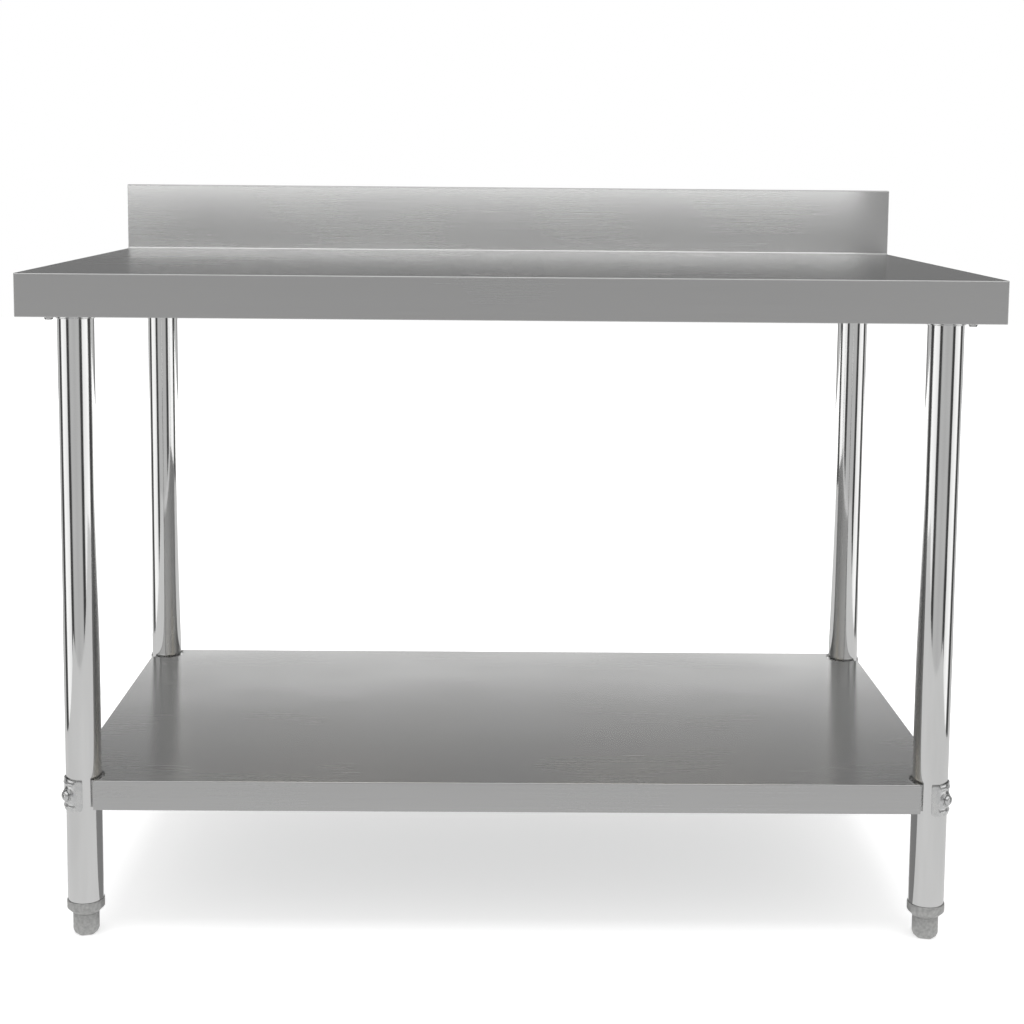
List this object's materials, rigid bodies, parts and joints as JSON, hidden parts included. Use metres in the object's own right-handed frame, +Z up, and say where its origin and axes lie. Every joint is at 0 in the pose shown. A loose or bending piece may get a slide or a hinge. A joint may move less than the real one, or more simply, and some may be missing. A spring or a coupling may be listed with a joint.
{
  "type": "stainless work table",
  "caption": "Stainless steel kitchen work table with an upstand along the back, a lower shelf clamped to round legs, and screw-adjustable feet.",
  "frame": {"origin": "on the floor under the middle of the table's outline", "axes": "+X to the right, +Y to the back where the splashback stands, +Z up"},
  "size_m": [1.2, 0.7, 0.95],
  "materials": {
    "brushed_stainless": "fine brushed stainless sheet",
    "polished_tube": "mirror-polished stainless tube",
    "galvanised_steel": "galvanised sheet, dull",
    "zinc_bolt": "bright zinc plating",
    "cast_foot": "fine cast grain, matt",
    "laminated_board": "plain faced board"
  },
  "bodies": {
    "table": {"worktop_skin": "brushed_stainless", "splash_end_left": "brushed_stainless", "splash_end_right": "brushed_stainless", "underlay_board": "laminated_board", "channel_left": "galvanised_steel", "channel_centre": "galvanised_steel", "channel_right": "galvanised_steel", "shelf_panel": "brushed_stainless", "shelf_stiffener": "galvanised_steel", "leg_flange_front_left": "zinc_bolt", "flange_bolt_front_left_outer": "zinc_bolt", "flange_bolt_front_left_inner": "zinc_bolt", "leg_tube_front_left": "polished_tube", "foot_insert_front_left": "cast_foot", "clamp_pad_front_left": "zinc_bolt", "clamp_saddle_front_left": "galvanised_steel", "clamp_washer_front_left": "zinc_bolt", "clamp_bolt_front_left": "zinc_bolt", "clamp_nut_front_left": "zinc_bolt", "leg_flange_front_right": "zinc_bolt", "flange_bolt_front_right_outer": "zinc_bolt", "flange_bolt_front_right_inner": "zinc_bolt", "leg_tube_front_right": "polished_tube", "foot_insert_front_right": "cast_foot", "clamp_pad_front_right": "zinc_bolt", "clamp_saddle_front_right": "galvanised_steel", "clamp_washer_front_right": "zinc_bolt", "clamp_bolt_front_right": "zinc_bolt", "clamp_nut_front_right": "zinc_bolt", "leg_flange_back_left": "zinc_bolt", "flange_bolt_back_left_outer": "zinc_bolt", "flange_bolt_back_left_inner": "zinc_bolt", "leg_tube_back_left": "polished_tube", "foot_insert_back_left": "cast_foot", "clamp_pad_back_left": "zinc_bolt", "clamp_saddle_back_left": "galvanised_steel", "clamp_washer_back_left": "zinc_bolt", "clamp_bolt_back_left": "zinc_bolt", "clamp_nut_back_left": "zinc_bolt", "leg_flange_back_right": "zinc_bolt", "flange_bolt_back_right_outer": "zinc_bolt", "flange_bolt_back_right_inner": "zinc_bolt", "leg_tube_back_right": "polished_tube", "foot_insert_back_right": "cast_foot", "clamp_pad_back_right": "zinc_bolt", "clamp_saddle_back_right": "galvanised_steel", "clamp_washer_back_right": "zinc_bolt", "clamp_bolt_back_right": "zinc_bolt", "clamp_nut_back_right": "zinc_bolt"},
    "screw_front_left": {"foot_stud_front_left": "zinc_bolt"},
    "foot_front_left": {"foot_pad_front_left": "cast_foot"},
    "screw_front_right": {"foot_stud_front_right": "zinc_bolt"},
    "foot_front_right": {"foot_pad_front_right": "cast_foot"},
    "screw_back_left": {"foot_stud_back_left": "zinc_bolt"},
    "foot_back_left": {"foot_pad_back_left": "cast_foot"},
    "screw_back_right": {"foot_stud_back_right": "zinc_bolt"},
    "foot_back_right": {"foot_pad_back_right": "cast_foot"}
  },
  "joints": [
    {"name": "foot_height_front_left", "type": "slide", "parent": "table", "child": "screw_front_left", "axis": [0, 0, -1], "range_m": [0, 0.0245]},
    {"name": "foot_turn_front_left", "type": "hinge", "parent": "screw_front_left", "child": "foot_front_left", "pos_m": [-0.54, -0.29, 0.014], "axis": [0, 0, -1], "range_deg": [0, 5040]},
    {"name": "foot_height_front_right", "type": "slide", "parent": "table", "child": "screw_front_right", "axis": [0, 0, -1], "range_m": [0, 0.0245]},
    {"name": "foot_turn_front_right", "type": "hinge", "parent": "screw_front_right", "child": "foot_front_right", "pos_m": [0.54, -0.29, 0.014], "axis": [0, 0, -1], "range_deg": [0, 5040]},
    {"name": "foot_height_back_left", "type": "slide", "parent": "table", "child": "screw_back_left", "axis": [0, 0, -1], "range_m": [0, 0.0245]},
    {"name": "foot_turn_back_left", "type": "hinge", "parent": "screw_back_left", "child": "foot_back_left", "pos_m": [-0.54, 0.29, 0.014], "axis": [0, 0, -1], "range_deg": [0, 5040]},
    {"name": "foot_height_back_right", "type": "slide", "parent": "table", "child": "screw_back_right", "axis": [0, 0, -1], "range_m": [0, 0.0245]},
    {"name": "foot_turn_back_right", "type": "hinge", "parent": "screw_back_right", "child": "foot_back_right", "pos_m": [0.54, 0.29, 0.014], "axis": [0, 0, -1], "range_deg": [0, 5040]}
  ],
  "couplings": [
    {"joint": "foot_height_front_left", "follows": "foot_turn_front_left", "m_per_rad": 0.00027852},
    {"joint": "foot_height_front_right", "follows": "foot_turn_front_right", "m_per_rad": 0.00027852},
    {"joint": "foot_height_back_left", "follows": "foot_turn_back_left", "m_per_rad": 0.00027852},
    {"joint": "foot_height_back_right", "follows": "foot_turn_back_right", "m_per_rad": 0.00027852}
  ]
}
